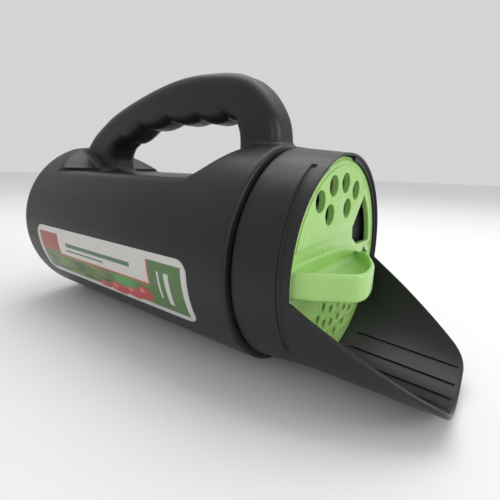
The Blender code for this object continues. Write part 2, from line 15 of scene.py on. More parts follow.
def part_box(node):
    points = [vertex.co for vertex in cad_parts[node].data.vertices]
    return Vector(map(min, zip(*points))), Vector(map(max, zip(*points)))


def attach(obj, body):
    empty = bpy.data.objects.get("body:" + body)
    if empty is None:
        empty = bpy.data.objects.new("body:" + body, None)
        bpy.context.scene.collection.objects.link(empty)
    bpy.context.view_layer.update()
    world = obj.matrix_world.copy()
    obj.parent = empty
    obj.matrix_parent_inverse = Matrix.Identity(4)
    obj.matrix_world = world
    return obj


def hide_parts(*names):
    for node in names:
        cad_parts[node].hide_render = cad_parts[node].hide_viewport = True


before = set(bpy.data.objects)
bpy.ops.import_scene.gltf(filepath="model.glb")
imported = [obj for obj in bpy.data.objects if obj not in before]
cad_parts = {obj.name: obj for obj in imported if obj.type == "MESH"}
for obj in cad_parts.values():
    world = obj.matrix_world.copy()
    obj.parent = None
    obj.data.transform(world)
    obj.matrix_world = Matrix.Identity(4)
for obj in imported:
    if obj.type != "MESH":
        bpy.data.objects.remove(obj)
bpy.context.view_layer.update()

MM = 0.001

# Places taken from the frame: the cap's front rim and the axis of the round body
CHUTE_LENGTH = 60.1 * MM
FRONT_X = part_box("cap")[1].x - CHUTE_LENGTH
AXIS_Z = 60.0 * MM

# Grids that the fine surfaces are made on
TABLE_PITCH = 0.5 * MM
TABLE_MARGIN = 12 * MM
BODY_GRID = 1.3 * MM
EDGE_GRID = 0.45 * MM
NECK_GRID = 1.0 * MM
BODY_STEP = 0.4 * MM
GRIP_GRID = 0.5 * MM
GRIP_STEP = 0.15 * MM
WELD = 0.001 * MM

# Bottle
BODY_RADIUS = 61.25 * MM
BODY_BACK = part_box("container")[0].x - FRONT_X
BODY_FRONT = -29.3 * MM
BACK_ROUND = 15.0 * MM
FRONT_ROUND = 1.6 * MM
WALL = 2.6 * MM
NECK_RADIUS = 51.6 * MM
NECK_BORE = 48.8 * MM
NECK_MOUTH = -12.6 * MM
NECK_ROOT = -41.3 * MM
NECK_EDGE = 0.6 * MM
NECK_FILLET = 0.8 * MM
SHELF_EDGE_ROUND = 2.5 * MM
SHELF_CEILING = 80 * MM
SHELF_LINE = [(-237, 63.5), (-230, 60.4), (-220, 54.8), (-210, 48.8), (-202.5, 43.6), (-195, 41), (-120, 41),
              (-76, 41), (-69.5, 42.3), (-63.8, 46.4), (-58.6, 51.6), (-53, 56.6), (-47, 58.6), (-24, 58.6)]

# Handle, heights above the axis
HANDLE_HALF = 12.5 * MM
HANDLE_ROUND = 8.0 * MM
HANDLE_GROWTH = 0.7 * MM
HANDLE_FILLET = 4.5 * MM
HANDLE_OUTER = [(-237, 30), (-235, 48), (-217.5, 66), (-200, 76.2), (-180, 84.7), (-145, 94.2),
                (-112, 99.6), (-84, 99.4), (-64, 96.2), (-51.5, 88.6), (-42.5, 77), (-38.8, 66), (-38, 50),
                (-38, 30)]
GRIP_LINE = [(-75, 75.2), (-97, 75.8), (-124, 76.1), (-151, 72.6), (-174, 64.2)]
GRIP_LOBE = 3.0 * MM
LOBE_POINTS = 10
GAP_FRONT = [(-63.6, 30), (-63.6, 48), (-63.8, 64), (-66.6, 71.8)]
GAP_BACK = [(-184.5, 59.0), (-189.5, 52), (-190, 44), (-190, 30)]

# Thread
THREAD_PITCH = 6.0 * MM
THREAD_DEPTH = 2.1 * MM
THREAD_STEPS = 96
THREAD_FADE_STEPS = 12
THREAD_SECTION = [(-1.3, -0.5), (-1.2, 0.0), (-0.75, 0.75), (-0.45, 1.0), (0.45, 1.0), (0.75, 0.75), (1.2, 0.0),
                  (1.3, -0.5)]  # millimetres along the axis, share of the depth
NECK_THREAD = (-25.8 * MM, 1.5)  # where it starts along the axis, turns
CAP_THREAD = (-22.8 * MM, 1.2)

# Cap
CAP_BACK = -28.3 * MM
CAP_BACK_RADIUS = 58.0 * MM
CAP_FRONT_RADIUS = 55.3 * MM
CAP_BORE = 54.6 * MM
DIAL_BORE = 54.1 * MM
END_WALL = (-10.0 * MM, -7.6 * MM)
LIP_RADIUS = 52.4 * MM
LIP_X = (-2.4 * MM, -1.2 * MM)
RIM_FLARE = 0.4 * MM
RIM_STEPS = [x * MM for x in (-0.4, -0.6, -0.8, -1.0, -1.19, -1.21, -1.3, -1.45, -1.7, -1.95, -2.2, -2.4)]
BACK_EDGE = 0.8 * MM
WALL_STEPS = 16
LIPS_DEG = [(53, 154), (28.5, 40), (-40, -28.5), (-172, -43)]
GROOVE_NEAR_X = -5.9 * MM
GROOVE_RUN_BACK = 2.1 * MM
GROOVE_WIDTH = 2.8 * MM
GROOVE_SOFT = 0.2 * MM
GROOVE_FADE_DEG = 1.2
GROOVE_DEPTH = 1.0 * MM
GROOVE_DEG = (53, 151)
CHUTE_WALL = 2.4 * MM
CHUTE_EDGE = (-7.1 * MM, -0.635, -0.59)
CHUTE_HALF_WIDTHS = (55.3 * MM, 49.7 * MM)
CHUTE_DEPTHS = (55.3 * MM, 57.3 * MM)
CHUTE_CORNER = 7.0 * MM
LIP_SWEEP = 2.2 * MM
FLOW_DEG = (-27, -13.5, 0, 13.5, 27)
FLOW_X = (4.0 * MM, 57.6 * MM)
FLOW_DEPTH = 0.8 * MM
FLOW_HALF = 0.6 * MM
OUTLET_RADII = (17 * MM, 46 * MM)
OUTLET_HALF_DEG = 44
HUB_PIN = 3.9 * MM
HUB_PIN_X = (-8.6 * MM, -3.4 * MM)
HUB_PIN_EDGE = 0.4 * MM
AXIS_HOLE = 0.01 * MM

# Dial, angles from straight down towards +Y
DIAL_RADIUS = 52.0 * MM
DIAL_FLANGE = 53.7 * MM
DIAL_X = (-7.2 * MM, -2.2 * MM)
FLANGE_FRONT = -2.9 * MM
DISC_THICK = 3.1 * MM
LARGE_HOLE = 5.0 * MM
LARGE_HOLES = [(43.6, -139.5), (42.4, -159.3), (40.8, -179.2), (39.3, -201), (31.6, -146.4), (28.2, -187.3)]
SMALL_HOLE = 2.3 * MM
SMALL_HOLES = ([(40.5, -29.3 + 15.8 * i) for i in range(5)]
               + [(33.3, -38.7 + 15.8 * i) for i in range(5)]
               + [(25.6, -34.8 + 23.1 * i) for i in range(3)])
WINDOW_RADIUS = 45.0 * MM
PANEL_RADIUS = 49.6 * MM
PANEL_RISE = 0.5 * MM
GRIP_PLAN = [(-6, -50.2), (0, -50.2), (17.5, -39.0), (22, -33.5), (22.6, -26), (20.2, -14), (15, -2),
             (8.4, 10), (1.4, 21), (-6, 29)]
GRIP_Z = (-6.5 * MM, 6.0 * MM)
GRIP_WALL = 2.0 * MM
GRIP_EDGE = 1.7 * MM
GRIP_RIM_ROUND = 0.8 * MM
GRIP_DROP = 3.5 * MM
GRIP_DROP_Y = (6 * MM, 16 * MM)  # where the drop starts, its length
GRIP_FOOT = 0.7 * MM
GRIP_SINK = 0.03 * MM
POCKET_FLOOR = -1.5 * MM
POCKET_ROUND = 3 * MM
SCOOP_FILLET = 5.3 * MM
SCOOP_BLEND = 2.5 * MM
SKIRT = (1.2 * MM, 2.5 * MM, 1 * MM)  # reach sideways, reach up and down, rounding

# Label, angles from straight down towards -Y
LABEL_X = (-211.0 * MM, -53.0 * MM)
LABEL_DEG = (58.0, 93.0)
LABEL_CORNER = 7.0 * MM
LABEL_THICK = 0.2 * MM


# ---------------------------------------------------------------- outlines

def scaled(points):
    return [(u * MM, v * MM) for u, v in points]


def smooth_line(points, per_span):
    """A Catmull-Rom curve through points."""
    ends = [points[0]] + list(points) + [points[-1]]
    line = []
    for a, b, c, d in zip(ends, ends[1:], ends[2:], ends[3:]):
        for step in range(per_span):
            t = step / per_span
            line.append(tuple(q + 0.5 * t * (r - p + t * (2 * p - 5 * q + 4 * r - s + t * (3 * q - p - 3 * r + s)))
                              for p, q, r, s in zip(a, b, c, d)))
    line.append(tuple(points[-1]))
    return line


def arc(radius, start_deg, end_deg, count):
    """Points as (y, z) on a circle about the axis, angles from straight down towards +Y."""
    turns = [math.radians(start_deg + (end_deg - start_deg) * i / count) for i in range(count + 1)]
    return [(radius * math.sin(t), -radius * math.cos(t)) for t in turns]


# ---------------------------------------------------------------- solids as distance fields

def rounded_both(a, b, radius):
    """What lies inside both fields, its edge rounded."""
    over = np.hypot(np.maximum(radius + a, 0), np.maximum(radius + b, 0))
    return np.minimum(np.maximum(a, b), -radius) + over


def filleted_either(a, b, radius):
    """What lies inside either field, with a fillet between them."""
    under = np.hypot(np.maximum(radius - a, 0), np.maximum(radius - b, 0))
    return np.maximum(np.minimum(a, b), radius) - under


class OutlineField:
    """Signed distance to a closed flat outline, tabulated on a fine grid."""

    def __init__(self, points, pitch, margin):
        corners = np.array(points)
        self.low = corners.min(axis=0) - margin
        counts = np.ceil((corners.max(axis=0) + margin - self.low) / pitch).astype(int) + 1
        self.pitch = pitch
        u = self.low[0] + pitch * np.arange(counts[0])[:, None]
        v = self.low[1] + pitch * np.arange(counts[1])[None, :]
        nearest = np.full(counts, 1e9)
        inside = np.zeros(counts, bool)
        for (au, av), (bu, bv) in zip(corners, np.roll(corners, -1, axis=0)):
            eu, ev = bu - au, bv - av
            along = np.clip(((u - au) * eu + (v - av) * ev) / (eu * eu + ev * ev), 0, 1)
            nearest = np.minimum(nearest, (u - au - along * eu) ** 2 + (v - av - along * ev) ** 2)
            if ev:
                inside ^= ((av > v) != (bv > v)) & (u < eu * (v - av) / ev + au)
        self.table = np.where(inside, -1, 1) * np.sqrt(nearest)

    def __call__(self, u, v):
        top = np.array(self.table.shape) - 2
        u = np.clip((u - self.low[0]) / self.pitch, 0, top[0] + 0.999)
        v = np.clip((v - self.low[1]) / self.pitch, 0, top[1] + 0.999)
        i, j = u.astype(int), v.astype(int)
        s, t = u - i, v - j
        near = self.table[i, j] * (1 - t) + self.table[i, j + 1] * t
        far = self.table[i + 1, j] * (1 - t) + self.table[i + 1, j + 1] * t
        return near * (1 - s) + far * s


def gradient(field, points, step):
    """Unit direction of the field's steepest rise at points."""
    slope = np.empty_like(points)
    for axis in range(3):
        shift = np.zeros(3)
        shift[axis] = step
        ahead, behind = points + shift, points - shift
        slope[:, axis] = field(*ahead.T) - field(*behind.T)
    return slope / np.maximum(np.linalg.norm(slope, axis=1, keepdims=True), 1e-12)


def field_mesh(name, field, axes, step):
    """Surface net of a field's zero level on a grid, moved onto the surface, with the field's own normals."""
    grids = np.meshgrid(*axes, indexing="ij")
    value = field(*grids)
    inside = value < 0
    cells = tuple(n - 1 for n in value.shape)
    count = np.zeros(cells, int)
    corners = [(i, j, k) for i in (0, 1) for j in (0, 1) for k in (0, 1)]
    for i, j, k in corners:
        count += inside[i:i + cells[0], j:j + cells[1], k:k + cells[2]]
    place = np.argwhere((count > 0) & (count < 8))
    index = np.full(cells, -1)
    index[tuple(place.T)] = np.arange(len(place))
    total = np.zeros((len(place), 3))
    crossings = np.zeros((len(place), 1))
    for corner in corners:
        for axis in range(3):
            if corner[axis]:
                continue
            start = place + corner
            end = start.copy()
            end[:, axis] += 1
            a, b = value[tuple(start.T)], value[tuple(end.T)]
            cross = (a < 0) != (b < 0)
            share = np.where(cross, a / np.where(cross, a - b, 1), 0)
            point = np.stack([axes[n][start[:, n]] for n in range(3)], axis=1)
            point[:, axis] += share * (axes[axis][end[:, axis]] - axes[axis][start[:, axis]])
            total += point * cross[:, None]
            crossings += cross[:, None]
    points = total / crossings
    quads = []
    for axis in range(3):
        b, c = (axis + 1) % 3, (axis + 2) % 3
        ahead = np.moveaxis(inside, axis, 0)
        flips = np.argwhere(np.moveaxis(ahead[:-1] != ahead[1:], 0, axis))
        flips = flips[(flips[:, b] > 0) & (flips[:, c] > 0)]
        flips = flips[(flips[:, b] < value.shape[b] - 1) & (flips[:, c] < value.shape[c] - 1)]
        ring = []
        for db, dc in ((-1, -1), (0, -1), (0, 0), (-1, 0)):
            cell = flips.copy()
            cell[:, b] += db
            cell[:, c] += dc
            ring.append(index[tuple(cell.T)])
        ring = np.stack(ring, axis=1)
        back = ~inside[tuple(flips.T)]
        ring[back] = ring[back][:, ::-1]
        quads.append(ring)
    quads = np.concatenate(quads)
    for _ in range(2):
        slope = gradient(field, points, step)
        points = points - slope * np.clip(field(*points.T), -step, step)[:, None]
    mesh = bpy.data.meshes.new(name)
    mesh.from_pydata(points.tolist(), [], quads.tolist())
    mesh.shade_smooth()
    mesh.normals_split_custom_set_from_vertices(gradient(field, points, step).tolist())
    made = bpy.data.objects.new(name, mesh)
    bpy.context.scene.collection.objects.link(made)
    made.location = (FRONT_X, 0, AXIS_Z)
    return made


def spaced(*spans):
    """Grid positions from (start, end, pitch) spans that follow each other."""
    values = [spans[0][0]]
    for start, end, pitch in spans:
        count = max(1, round((end - start) / pitch))
        values += [start + (end - start) * (i + 1) / count for i in range(count)]
    return np.array(values)


# ---------------------------------------------------------------- bottle

def handle_outline():
    """Side view of the handle: over its outer side, then back along the finger side with its lobes."""
    outer = smooth_line(scaled(HANDLE_OUTER), 8)
    front = smooth_line(scaled(GAP_FRONT), 6)
    base = smooth_line(scaled(GRIP_LINE), LOBE_POINTS)
    back = smooth_line(scaled(GAP_BACK), 6)
    waves = [math.sin(math.pi * (i % LOBE_POINTS) / LOBE_POINTS) ** 0.8 for i in range(len(base))]
    grip = [(x, z - GRIP_LOBE * wave) for (x, z), wave in zip(base, waves)]
    return outer + front + grip + back


def bottle_field():
    """The hollow bottle: body with its shelf, handle and neck."""
    line = smooth_line(scaled(SHELF_LINE), 6)
    above = [(line[-1][0], SHELF_CEILING), (line[0][0], SHELF_CEILING)]
    shelf = OutlineField(line + above, TABLE_PITCH, TABLE_MARGIN)
    side = OutlineField(handle_outline(), TABLE_PITCH, TABLE_MARGIN)

    def outside(x, y, z):
        radius = np.hypot(y, z) - BODY_RADIUS
        body = rounded_both(radius, BODY_BACK - x, BACK_ROUND)
        body = rounded_both(body, x - BODY_FRONT, FRONT_ROUND)
        body = np.maximum(body, -AXIS_Z - z)
        body = rounded_both(body, -shelf(x, z), SHELF_EDGE_ROUND)
        loop = side(x, z) - HANDLE_GROWTH
        handle = rounded_both(loop, np.abs(y) - HANDLE_HALF, HANDLE_ROUND)
        return filleted_either(body, handle, HANDLE_FILLET)

    def field(x, y, z):
        form = outside(x, y, z)
        turned = np.hypot(y, z)
        neck = rounded_both(turned - NECK_RADIUS, x - NECK_MOUTH, NECK_EDGE)
        neck = np.maximum(neck, NECK_ROOT - x)
        bore = np.maximum(turned - NECK_BORE, NECK_ROOT - x)
        return np.maximum(filleted_either(form, neck, NECK_FILLET), -np.minimum(form + WALL, bore))

    return field


def helix_ridge(name, root_radius, depth, start, turns):
    """A screw thread about the axis: a rounded ridge that runs out at both ends."""
    steps = int(turns * THREAD_STEPS)
    mesh = bmesh.new()
    rings = []
    for step in range(steps + 1):
        angle = 2 * math.pi * step / THREAD_STEPS
        fade = math.sin(min(1.0, step / THREAD_FADE_STEPS, (steps - step) / THREAD_FADE_STEPS) * math.pi / 2)
        height = start + THREAD_PITCH * step / THREAD_STEPS
        ring = []
        for along, out in THREAD_SECTION:
            radius = root_radius + depth * (out * fade if out > 0 else out)
            place = (height + along * MM, -radius * math.sin(angle), radius * math.cos(angle))
            ring.append(mesh.verts.new(place))
        rings.append(ring)
    for near, far in zip(rings, rings[1:]):
        for i, corner in enumerate(near):
            j = (i + 1) % len(near)
            mesh.faces.new((corner, near[j], far[j], far[i]))
    mesh.faces.new(rings[0])
    mesh.faces.new(rings[-1])
    bmesh.ops.recalc_face_normals(mesh, faces=mesh.faces)
    return placed(name, mesh)


def placed(name, mesh, smooth_deg=40):
    """A bmesh in the body's own axes made into an object in the frame."""
    data = bpy.data.meshes.new(name)
    mesh.to_mesh(data)
    mesh.free()
    data.shade_smooth()
    data.set_sharp_from_angle(angle=math.radians(smooth_deg))
    made = bpy.data.objects.new(name, data)
    bpy.context.scene.collection.objects.link(made)
    made.location = (FRONT_X, 0, AXIS_Z)
    return made


def dress(piece, look, body, slot, *nodes):
    """Gives a piece its material, the body it rides on and the CAD nodes that it stands for."""
    piece.data.materials.clear()
    piece.data.materials.append(look)
    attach(piece, body)
    if nodes:
        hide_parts(*nodes)


def build_bottle(look):
    edge = (BODY_FRONT - 5 * MM, BODY_FRONT + 1 * MM)
    x = spaced((BODY_BACK - 3 * MM, edge[0], BODY_GRID), (*edge, EDGE_GRID), (edge[1], NECK_MOUTH + 2 * MM, NECK_GRID))
    reach = BODY_RADIUS + 2 * MM
    y = spaced((-reach, reach, BODY_GRID))
    z = spaced((-reach, 103 * MM, BODY_GRID))
    bottle = field_mesh("bottle_shell", bottle_field(), (x, y, z), BODY_STEP)
    dress(bottle, look, "bottle", "bottle_plastic", "container")
    ridge = helix_ridge("neck_thread", NECK_RADIUS, THREAD_DEPTH, *NECK_THREAD)
    dress(ridge, look, "bottle", "bottle_plastic", "container")


# ---------------------------------------------------------------- cap with its chute

def chute_size(x):
    """Half width and depth of the outside of the cap and chute at x."""
    if x < 0:
        radius = CAP_FRONT_RADIUS + (CAP_BACK_RADIUS - CAP_FRONT_RADIUS) * x / CAP_BACK
        return radius, radius
    share = x / CHUTE_LENGTH
    return tuple(first + (last - first) * share for first, last in (CHUTE_HALF_WIDTHS, CHUTE_DEPTHS))


def chute_end(angle):
    """How far the wall reaches at an angle from straight down: to the rim, the sloping edge or the lip."""
    start, slope, curve = CHUTE_EDGE
    half = math.acos(-start / CHUTE_DEPTHS[0])
    if abs(angle) >= half:
        return 0.0
    x = 0.0
    for _ in range(12):
        x = (-chute_size(x)[1] * math.cos(angle) - start - curve * x * x) / slope
    lip = CHUTE_LENGTH - LIP_SWEEP * math.sin(angle) ** 2
    blend = max(CHUTE_CORNER - abs(lip - x), 0) / CHUTE_CORNER
    return max(min(lip, x) - blend ** 2 * CHUTE_CORNER / 4, 0.0)


def cap_columns():
    """Angles in degrees of the cap's columns, close together where a feature starts or ends."""
    start_deg = math.degrees(math.acos(-CHUTE_EDGE[0] / CHUTE_DEPTHS[0]))
    steps = []
    for start, end in LIPS_DEG:
        steps += [start - 0.15, start + 0.15, end - 0.15, end + 0.15]
    for side in (-1, 1):
        steps += [side * (d + shift) for d in GROOVE_DEG for shift in (-0.6, -0.2, 0.2, 0.6)]
        steps += [side * (start_deg + shift) for shift in (-1.2, -0.8, -0.4, -0.15, 0.0, 0.1)]
    half = math.degrees(FLOW_HALF / (CHUTE_DEPTHS[0] - CHUTE_WALL))
    for middle in FLOW_DEG:
        steps += [middle + s for s in (-half - 0.15, -half + 0.1, -half / 2, half / 2, half - 0.1, half + 0.15)]
    columns = sorted(steps)
    for i in range(360):
        angle = -180 + i
        if min(abs(angle - s) for s in steps) > 0.35:
            columns.append(angle)
    return sorted(columns)


def wall_profile(degrees):
    """Points of the wall at an angle as (x, depth below the outer surface), closed, from the back rim forwards."""
    angle = math.radians(degrees)
    end = chute_end(angle)
    chute = end > 0
    round_r = 0.35 * MM + min(end / (6 * MM), 1) * 0.75 * MM
    near = abs(degrees)
    starts = min(max((near - GROOVE_DEG[0]) / GROOVE_FADE_DEG + 0.5, 0), 1)
    ends = min(max((GROOVE_DEG[1] - near) / GROOVE_FADE_DEG + 0.5, 0), 1)
    fade = starts * ends
    groove = GROOVE_DEPTH * fade
    lip = any(start < degrees < end for start, end in LIPS_DEG)

    def bore(x, radius):
        return chute_size(x)[0] - radius

    points = [(CAP_BACK, BACK_EDGE)]
    points += [(CAP_BACK + BACK_EDGE * (1 - math.cos(t)), BACK_EDGE * (1 - math.sin(t))) for t in (0.4, 0.8, 1.2, 1.57)]
    points += [(x * MM, 0) for x in (-26, -22, -18, -14, -10.5, -8.5)]
    share = min(max((near - GROOVE_DEG[0]) / (GROOVE_DEG[1] - GROOVE_DEG[0]), 0), 1)
    low = GROOVE_NEAR_X - GROOVE_RUN_BACK * share ** 1.5
    high = low + GROOVE_WIDTH
    soft = GROOVE_SOFT
    points += [(low - soft, 0), (low, soft * fade), (low + 0.05 * MM, groove - soft * fade), (low + soft, groove)]
    points += [(high - soft, groove), (high - 0.05 * MM, groove - soft * fade), (high, soft * fade), (high + soft, 0)]
    first = high + 2 * soft
    outer_end = end - round_r
    points += [(first + (outer_end - first) * i / WALL_STEPS, 0) for i in range(WALL_STEPS + 1)]
    bends = [math.radians(a) for a in (22.5, 45, 67.5, 90)]
    points += [(outer_end + round_r * math.sin(t), round_r * (1 - math.cos(t))) for t in bends]
    thick = CHUTE_WALL if chute else bore(0, DIAL_BORE + RIM_FLARE)
    points += [(outer_end + round_r * math.cos(t), thick - round_r * (1 - math.sin(t))) for t in [0] + bends]
    lines = any(abs(degrees - middle) < math.degrees(FLOW_HALF / CHUTE_DEPTHS[0]) for middle in FLOW_DEG)
    full = CHUTE_LENGTH - round_r
    marks = [FLOW_X[1] + 0.15 * MM, FLOW_X[1] - 0.15 * MM, 50 * MM, 42 * MM, 34 * MM, 26 * MM, 18 * MM, 11 * MM,
             FLOW_X[0] + 0.15 * MM, FLOW_X[0] - 0.15 * MM, 1 * MM, LIP_X[0]]
    for i, mark in enumerate(marks):
        share = (full - mark) / (full - LIP_X[0])
        x = outer_end + (LIP_X[0] - outer_end) * share
        depth = thick if x > 0 else bore(x, chute_size(0)[0] - CHUTE_WALL)
        if lines and 1 <= i <= 8:
            depth += FLOW_DEPTH
        if not chute:
            x = RIM_STEPS[i]
            depth = bore(x, DIAL_BORE + max(0, 0.5 * MM + x / 2))
            if lip and x < LIP_X[1]:
                depth = bore(x, LIP_RADIUS) - max(0, 0.2 * MM - (LIP_X[1] - x))
        points.append((x, depth))
    points += [(LIP_X[0] - 0.01 * MM, bore(LIP_X[0], DIAL_BORE)), (-5 * MM, bore(-5 * MM, DIAL_BORE)),
               (END_WALL[1], bore(END_WALL[1], DIAL_BORE)), (END_WALL[0], bore(END_WALL[0], DIAL_BORE)),
               (END_WALL[0] - 0.1 * MM, bore(END_WALL[0], CAP_BORE)), (-19 * MM, bore(-19 * MM, CAP_BORE)),
               (CAP_BACK + 0.4 * MM, bore(CAP_BACK + 0.4 * MM, CAP_BORE)),
               (CAP_BACK, bore(CAP_BACK, CAP_BORE + 0.4 * MM))]
    return points


def cap_shell():
    """The cap's wall and its chute as one closed surface, turned with a profile that changes with the angle."""
    mesh = bmesh.new()
    rings = []
    for degrees in cap_columns():
        angle = math.radians(degrees)
        ring = []
        for x, depth in wall_profile(degrees):
            width, height = chute_size(x)
            place = (x, -(width - depth) * math.sin(angle), -(height - depth) * math.cos(angle))
            ring.append(mesh.verts.new(place))
        rings.append(ring)
    for near, far in zip(rings, rings[1:] + rings[:1]):
        for i, corner in enumerate(near):
            j = (i + 1) % len(near)
            mesh.faces.new((corner, near[j], far[j], far[i]))
    bmesh.ops.remove_doubles(mesh, verts=mesh.verts, dist=2 * WELD)
    bmesh.ops.recalc_face_normals(mesh, faces=mesh.faces)
    return placed("cap_shell", mesh, 50)


def plate(name, outlines, back, front, edge):
    """A flat plate with holes from (y, z) outlines, between two x values, its rims rounded."""
    curve = bpy.data.curves.new(name, "CURVE")
    curve.dimensions = "2D"
    curve.fill_mode = "BOTH"
    curve.extrude = (front - back) / 2
    for outline in outlines:
        spline = curve.splines.new("POLY")
        spline.points.add(len(outline) - 1)
        for target, (u, v) in zip(spline.points, outline):
            target.co = (u, v, 0, 1)
        spline.use_cyclic_u = True
    source = bpy.data.objects.new(name, curve)
    bpy.context.scene.collection.objects.link(source)
    bpy.context.view_layer.update()
    mesh = bmesh.new()
    mesh.from_mesh(source.evaluated_get(bpy.context.evaluated_depsgraph_get()).to_mesh())
    bpy.data.objects.remove(source, do_unlink=True)
    bmesh.ops.remove_doubles(mesh, verts=mesh.verts, dist=WELD)
    rims = [e for e in mesh.edges if len(e.link_faces) == 2 and e.calc_face_angle() > math.radians(80)
            and abs(e.verts[0].co.z - e.verts[1].co.z) < 1e-7]
    bmesh.ops.bevel(mesh, geom=rims, offset=edge, segments=3, profile=0.5, affect="EDGES", clamp_overlap=False)
    bmesh.ops.recalc_face_normals(mesh, faces=mesh.faces)
    turn = Matrix(((0, 0, 1, 0), (1, 0, 0, 0), (0, 1, 0, 0), (0, 0, 0, 1)))
    mesh.transform(Matrix.Translation(((front + back) / 2, 0, 0)) @ turn)
    return mesh


def revolved(profile, steps):
    """A closed (x, radius) profile turned about the axis."""
    mesh = bmesh.new()
    rings = []
    for step in range(steps):
        angle = 2 * math.pi * step / steps
        rings.append([mesh.verts.new((x, r * math.sin(angle), -r * math.cos(angle))) for x, r in profile])
    for near, far in zip(rings, rings[1:] + rings[:1]):
        for i, corner in enumerate(near):
            j = (i + 1) % len(near)
            mesh.faces.new((corner, near[j], far[j], far[i]))
    bmesh.ops.remove_doubles(mesh, verts=mesh.verts, dist=WELD)
    bmesh.ops.recalc_face_normals(mesh, faces=mesh.faces)
    return mesh


def build_cap(look):
    dress(cap_shell(), look, "cap", "cap_plastic", "cap")
    outlet = arc(OUTLET_RADII[1], -OUTLET_HALF_DEG, OUTLET_HALF_DEG, 40)
    outlet += arc(OUTLET_RADII[0], OUTLET_HALF_DEG, -OUTLET_HALF_DEG, 20)
    wall = plate("end_wall", [arc(DIAL_BORE + 0.4 * MM, -180, 178, 179), outlet], *END_WALL, 0.3 * MM)
    dress(placed("end_wall", wall), look, "cap", "cap_plastic", "cap")
    root, tip = HUB_PIN_X
    pin = revolved([(root, AXIS_HOLE), (root, HUB_PIN), (tip - HUB_PIN_EDGE, HUB_PIN), (tip, HUB_PIN - HUB_PIN_EDGE),
                    (tip, AXIS_HOLE)], 48)
    dress(placed("hub_pin", pin), look, "cap", "cap_plastic", "cap")
    ridge = helix_ridge("cap_thread", CAP_BORE, -THREAD_DEPTH, *CAP_THREAD)
    dress(ridge, look, "cap", "cap_plastic", "cap")


# ---------------------------------------------------------------- metering dial

def circle(distance, degrees, radius, count):
    """Outline of a round hole at a polar place on the dial."""
    angle = math.radians(degrees)
    y, z = distance * MM * math.sin(angle), -distance * MM * math.cos(angle)
    turns = [2 * math.pi * i / count for i in range(count)]
    return [(y + radius * math.cos(t), z + radius * math.sin(t)) for t in turns]


def windows():
    """The two openings of the free-flow setting."""
    upper = scaled([(24.5, 5.6), (16.2, 10.4), (15.0, 16.4)]) + arc(WINDOW_RADIUS, 138.5, 96.5, 16)
    lower = scaled([(37.0, 2.6)]) + arc(WINDOW_RADIUS, 86.7, 56, 12) + scaled([(25.5, -17.2)])
    return [upper, lower]


def panel_outline():
    """The raised field round the large holes."""
    lower = scaled([(25.6, 41.2), (10.1, 15.5), (-47.8, 12.7)])
    first = math.degrees(math.atan2(lower[-1][0], -lower[-1][1]))
    return lower[1:] + arc(PANEL_RADIUS, first - 0.5, -211.6, 48)


def grip_field():
    """The finger grip: a sail-shaped cup with a scoop that runs out on the dial's face."""
    plan = OutlineField(smooth_line(scaled(GRIP_PLAN), 8), 0.25 * MM, 6 * MM)
    sunk = DIAL_X[1] - GRIP_SINK
    low, high = GRIP_Z

    def field(x, y, z):
        rim = plan(x, y)
        drop = np.clip((y - GRIP_DROP_Y[0]) / GRIP_DROP_Y[1], 0, 1)
        top = high - GRIP_DROP * drop * drop * (3 - 2 * drop)
        middle, half = (top + low) / 2, (top - low) / 2
        form = rounded_both(rim, np.abs(z - middle) - half, GRIP_EDGE)
        pocket = rounded_both(rim + GRIP_WALL, POCKET_FLOOR - z, POCKET_ROUND)
        cup = rounded_both(form, -pocket, GRIP_RIM_ROUND)
        within = np.clip(-(rim + GRIP_WALL) / SCOOP_BLEND, 0, 1) * (z > POCKET_FLOOR)
        whole = filleted_either(cup, x - sunk, GRIP_FOOT + SCOOP_FILLET * within)
        aside, up, bend = SKIRT
        skirt = rounded_both(plan(np.maximum(x, sunk), y) - aside, np.abs(z - middle) - half - up, bend)
        return np.maximum(np.maximum(whole, skirt), sunk - 2 * MM - x)

    return field


def build_dial(look):
    back, face = DIAL_X
    holes = [circle(d, a, LARGE_HOLE, 48) for d, a in LARGE_HOLES]
    small = [circle(d, a, SMALL_HOLE, 24) for d, a in SMALL_HOLES]
    rim = arc(DIAL_RADIUS - 0.4 * MM, -180, 178, 179)
    disc_back = face - DISC_THICK
    disc = plate("dial_disc", [rim, *holes, *small, *windows()], disc_back, face, 0.35 * MM)
    dress(placed("dial_disc", disc, 30), look, "dial", "dial_plastic", "metering_dial")
    flange = revolved([(back, DIAL_RADIUS - 1.5 * MM), (back, DIAL_FLANGE - 0.3 * MM), (back + 0.3 * MM, DIAL_FLANGE),
                       (FLANGE_FRONT - 0.3 * MM, DIAL_FLANGE), (FLANGE_FRONT, DIAL_FLANGE - 0.3 * MM),
                       (FLANGE_FRONT, DIAL_RADIUS + 0.2 * MM), (FLANGE_FRONT + 0.15 * MM, DIAL_RADIUS),
                       (face - 0.3 * MM, DIAL_RADIUS), (face - 0.05 * MM, DIAL_RADIUS - 0.25 * MM),
                       (face - 0.05 * MM, DIAL_RADIUS - 1.5 * MM)], 240)
    dress(placed("dial_flange", flange, 50), look, "dial", "dial_plastic", "metering_dial")
    panel = plate("dial_panel", [panel_outline(), *holes], face - 1 * MM, face + PANEL_RISE, 0.25 * MM)
    dress(placed("dial_panel", panel, 30), look, "dial", "dial_plastic", "metering_dial")
    x = spaced((face - 3 * MM, 23 * MM, GRIP_GRID))
    y = spaced((-53 * MM, 32 * MM, GRIP_GRID))
    z = spaced((-10.5 * MM, 10.5 * MM, GRIP_GRID))
    grip = field_mesh("dial_grip", grip_field(), (x, y, z), GRIP_STEP)
    dress(grip, look, "dial", "dial_plastic", "metering_dial")


# ---------------------------------------------------------------- label

